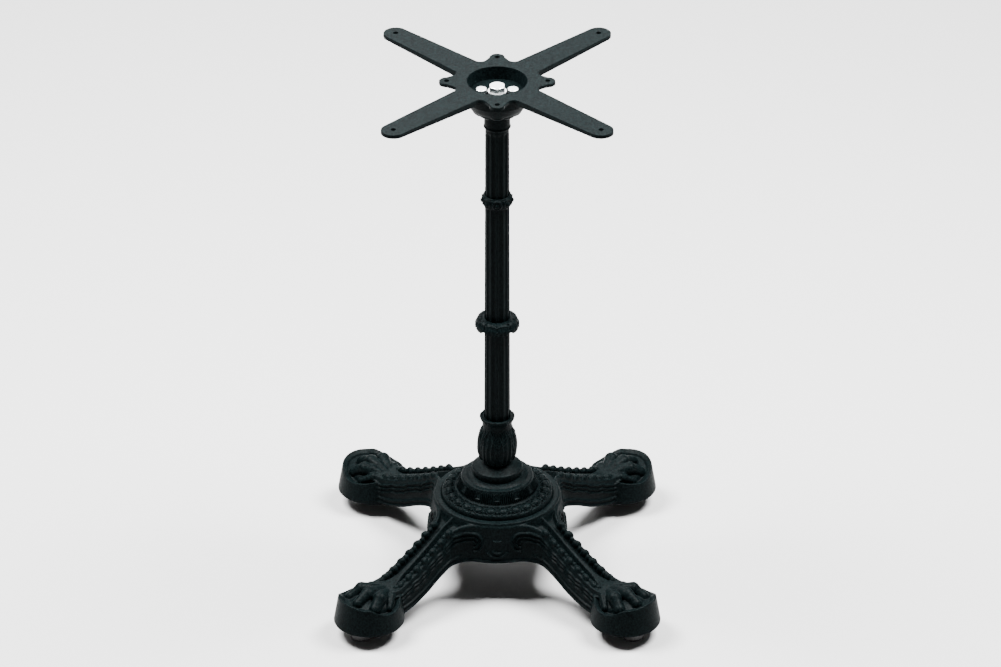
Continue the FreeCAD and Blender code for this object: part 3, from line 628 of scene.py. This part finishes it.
def middle_collar():
    """A ring of leaves that hang over a row of small arches."""
    z0, radius, height = MIDDLE_COLLAR

    def leaves(angle, r, z):
        outside = step_up(r, radius * 0.66, radius * 0.74)
        up = (z - z0) / (height / 2)
        across = near_repeat(angle, COLLAR_LEAVES) * COLLAR_LEAVES / math.pi
        edge = -0.50 + 0.58 * across ** 2
        above = step_up(up - edge, -0.06, 0.06)
        groove = line(np.abs(across) - 1.0, 0.30)
        vein = line(across, 0.16)
        lobe = np.sqrt(np.clip(1 - ((np.abs(across) - 1.0) / 0.62) ** 2, 0, 1))
        top_edge = 0.8 * line(up - 0.80 + 0.16 * across ** 2, 0.16)
        rim = 0.7 * line(up - edge - 0.10, 0.14)
        upper = 0.6 - 1.2 * groove - 0.5 * vein + top_edge + rim
        return outside * (above * upper + (1 - above) * (1.1 * lobe - 2.9))

    bulge = ((0.80, 0.98), (0.90, 0.62), (0.975, 0.22), (0.985, -0.1), (0.95, -0.42), (0.84, -0.80),
             (0.72, -0.98))
    return turned("collar_middle", collar_profile(MIDDLE_COLLAR, bulge), leaves, 720, 0.4)


def tulip_leaves(angle, r, z):
    """Two layers of long pointed leaves with fine reeds on them, and one leaf's curled tip."""
    low, throat = TULIP_Z[:2]
    up = (z - low) / (throat - low)
    body = step_up(up, 0.0, 0.08) * (1 - step_up(up, 0.93, 1.0)) * (r > 17.5)
    reeds = 0.35 * np.cos(angle * TULIP_REEDS + 0.8 * np.sin(up * 5.0))
    wide = np.clip(np.sin(np.clip(up, 0, 1) ** 0.8 * math.pi), 0, 1) ** 0.7
    half = math.pi / TULIP_LEAVES
    front = np.abs(near_repeat(angle, TULIP_LEAVES)) / half
    back = np.abs(near_repeat(angle, TULIP_LEAVES, half)) / half
    outline = 1.2 * line(front - 0.86 * wide, 0.12) + 0.7 * line(back - 0.60 * wide, 0.12)
    raised = 0.5 * step_up(0.86 * wide - front, 0.0, 0.08)
    along = near_repeat(angle, 1, math.radians(-62)) * 24
    curl = sum(line(along - (z - 202) * 0.9 - shift, 2.4) for shift in (-2.2, 2.6)) * step_up(z, 193, 197)
    curl = curl * (1 - step_up(z, 209, 213)) * (np.abs(along) < 16)
    return body * (reeds + outline + raised + curl - 0.5) + lip_leaves(angle, r, z)


def lip_leaves(angle, r, z):
    """The uneven edge of the tulip's flared lip, and one leaf that folds over it."""
    throat = TULIP_Z[1]
    edge = step_up(r, 20.4, 21.6) * step_up(z, throat + 5, throat + 8)
    across = near_repeat(angle, LIP_LOBES, 0.2) * LIP_LOBES / math.pi
    lobe = np.sqrt(np.clip(1 - (across / 1.02) ** 2, 0, 1))
    fold_at = near_repeat(angle, 1, math.radians(-58)) * 20
    fold = np.exp(-(fold_at / 3.4) ** 2) * step_up(z, throat + 3, throat + 9) * (r > 19.5)
    return edge * (0.9 * lobe - 0.7) + 1.1 * fold


def tulip():
    """The tulip-shaped socket that the shaft stands in."""
    low, top = TULIP_Z[0], TULIP_Z[2]
    bore, seat_z = SHAFT[0][1] + FIT, SHAFT[0][0]
    side = smooth(TULIP_SIDE)
    heights = np.linspace(TULIP_SIDE[-1][0], 0, 46)
    lip = [(bore, top - 1.2), (bore + 2.0, top - 1.0), (21.6, top), (22.5, top - 0.6)]
    outer = lip + [(float(side(h)), low + float(h)) for h in heights]
    return turned("tulip", outer + [(BORE_R, low), (BORE_R, seat_z), (bore, seat_z)], tulip_leaves, 720, 0.5)


def seat_disc():
    """The plain disc between the tulip and the hub, undercut below its edge."""
    profile = [(BORE_R, 160.0), (18.0, 160.0), (31.6, 154.4)] + arc((31.8, 152.4), (1.2, 1.6), 75, 0, 5)
    profile += [(32.9, 149.0), (31.0, 139.5), (30.0, 138.5), (BORE_R, 138.5)]
    return turned("disc", profile, no_relief, 240, 0.8)


# ---- finishes -----------------------------------------------------------------------------------
def finish(name, color, roughness, metallic=0.0):
    """A plain material."""
    mat = bpy.data.materials.new(name)
    mat.use_nodes = True
    shader = mat.node_tree.nodes["Principled BSDF"]
    shader.inputs["Base Color"].default_value = (*color, 1)
    shader.inputs["Roughness"].default_value = roughness
    shader.inputs["Metallic"].default_value = metallic
    return mat


def noise(mat, scale, detail):
    """A noise texture fixed to the object, whose features are about 1 / scale metres wide."""
    nodes, links = mat.node_tree.nodes, mat.node_tree.links
    place = nodes.new("ShaderNodeTexCoord")
    grain = nodes.new("ShaderNodeTexNoise")
    grain.inputs["Scale"].default_value = scale
    grain.inputs["Detail"].default_value = detail
    links.new(place.outputs["Object"], grain.inputs["Vector"])
    return grain.outputs["Fac"]


def ramp(mat, source, stops):
    """Maps source through (position, color) stops."""
    node = mat.node_tree.nodes.new("ShaderNodeValToRGB")
    for element, (position, color) in zip(node.color_ramp.elements, stops):
        element.position = position
        element.color = (*color, 1)
    mat.node_tree.links.new(source, node.inputs["Fac"])
    return node.outputs["Color"]


def bumps(mat, source, strength, depth):
    """Bends the shading of mat by source, a height whose full range is depth metres."""
    nodes, links = mat.node_tree.nodes, mat.node_tree.links
    bump = nodes.new("ShaderNodeBump")
    bump.inputs["Strength"].default_value = strength
    bump.inputs["Distance"].default_value = depth
    links.new(source, bump.inputs["Height"])
    links.new(bump.outputs["Normal"], nodes["Principled BSDF"].inputs["Normal"])


def powder_coat():
    """Black powder coat with a fine sandy texture."""
    mat = finish("powder coat", (0.02, 0.024, 0.024), 0.5)
    links, shader = mat.node_tree.links, mat.node_tree.nodes["Principled BSDF"]
    dark, light = (0.0002, 0.0006, 0.0008), (0.0024, 0.0048, 0.0050)
    smoother, rougher = (0.36,) * 3, (0.52,) * 3
    sand = noise(mat, 620, 4)
    links.new(ramp(mat, sand, ((0.40, dark), (0.62, light))), shader.inputs["Base Color"])
    patches = noise(mat, 350, 2)
    links.new(ramp(mat, patches, ((0.3, smoother), (0.7, rougher))), shader.inputs["Roughness"])
    bumps(mat, sand, 0.5, 0.0005)
    shader.inputs["Specular IOR Level"].default_value = 0.018
    return mat


def bright_zinc():
    """The plated fasteners and leveller studs."""
    mat = finish("bright zinc", (0.86, 0.88, 0.88), 0.28, 1.0)
    bumps(mat, noise(mat, 900, 2), 0.15, 0.0002)
    return mat


# ---- putting it together ------------------------------------------------------------------------
def put(piece, node, coat):
    """piece stands for a CAD node, on the body that stays still, in the coat's finish."""
    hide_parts(node)
    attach(piece, BODY)
    piece.data.materials.append(coat)


def castings(coat):
    """The sculpted pieces, each in place of its plain CAD node."""
    for piece in (base_casting(), hub_rings()):
        put(piece, "base_casting", coat)
    column = ((fluted_shaft, "fluted_shaft"), (column_head, "column_head"),
              (upper_collar, "upper_collar"), (middle_collar, "middle_collar"),
              (tulip, "tulip_socket"), (seat_disc, "seat_disc"))
    for build, node in column:
        put(build(), node, coat)


def cad_finishes(coat):
    """Finishes for the CAD nodes that are shown as they are."""
    zinc = bright_zinc()
    plastic = finish("black plastic", (0.014, 0.014, 0.015), 0.42)
    for name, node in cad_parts.items():
        if node.hide_render:
            continue
        node.data.materials.clear()
        node.data.materials.append(coat if name == "top_plate" else plastic if "pad" in name else zinc)


def area_light(name, place, aim, size, watts):
    """A square light of size metres at place, pointed at aim."""
    light = bpy.data.lights.new(name, "AREA")
    light.size = size
    light.energy = watts
    lamp = bpy.data.objects.new(name, light)
    lamp.location = place
    lamp.rotation_euler = (Vector(aim) - Vector(place)).to_track_quat("-Z", "Y").to_euler()
    bpy.context.scene.collection.objects.link(lamp)


def studio():
    """A pale floor under soft light from above."""
    bpy.ops.mesh.primitive_plane_add(size=24)
    floor = bpy.context.object
    floor.name = "floor"
    floor.data.materials.append(finish("pale floor", (0.42, 0.42, 0.42), 0.9))
    world = bpy.data.worlds.new("studio")
    bpy.context.scene.world = world
    world.use_nodes = True
    back = world.node_tree.nodes["Background"]
    back.inputs["Color"].default_value = (1, 1, 1, 1)
    back.inputs["Strength"].default_value = 0.12
    for side in (-1, 1):
        area_light("overhead", (side * 1.3, 0.2, 2.8), (0, 0, 0.2), 1.2, 500)
    area_light("behind", (-0.6, 3.0, 2.2), (0, 0, 0.3), 2.2, 110)


CAMERA_AWAY = 10.0              # metres from the point that it looks at
CAMERA_UP = 29.88               # degrees above the horizon
CAMERA_AIM_Z = 0.36             # height of that point on the axis
CAMERA_LENS = 279.1
CAMERA_SHIFT = (0.0033, -0.0062)


def camera():
    """A long lens from the front, looking down about 30 degrees."""
    data = bpy.data.cameras.new("camera")
    data.lens = CAMERA_LENS
    data.shift_x, data.shift_y = CAMERA_SHIFT
    data.clip_end = 100
    made = bpy.data.objects.new("camera", data)
    up = math.radians(CAMERA_UP)
    made.location = (0, -math.cos(up) * CAMERA_AWAY, math.sin(up) * CAMERA_AWAY + CAMERA_AIM_Z)
    made.rotation_euler = (math.pi / 2 - up, 0, 0)
    bpy.context.scene.collection.objects.link(made)
    bpy.context.scene.camera = made


coat = powder_coat()
castings(coat)
cad_finishes(coat)
studio()
camera()
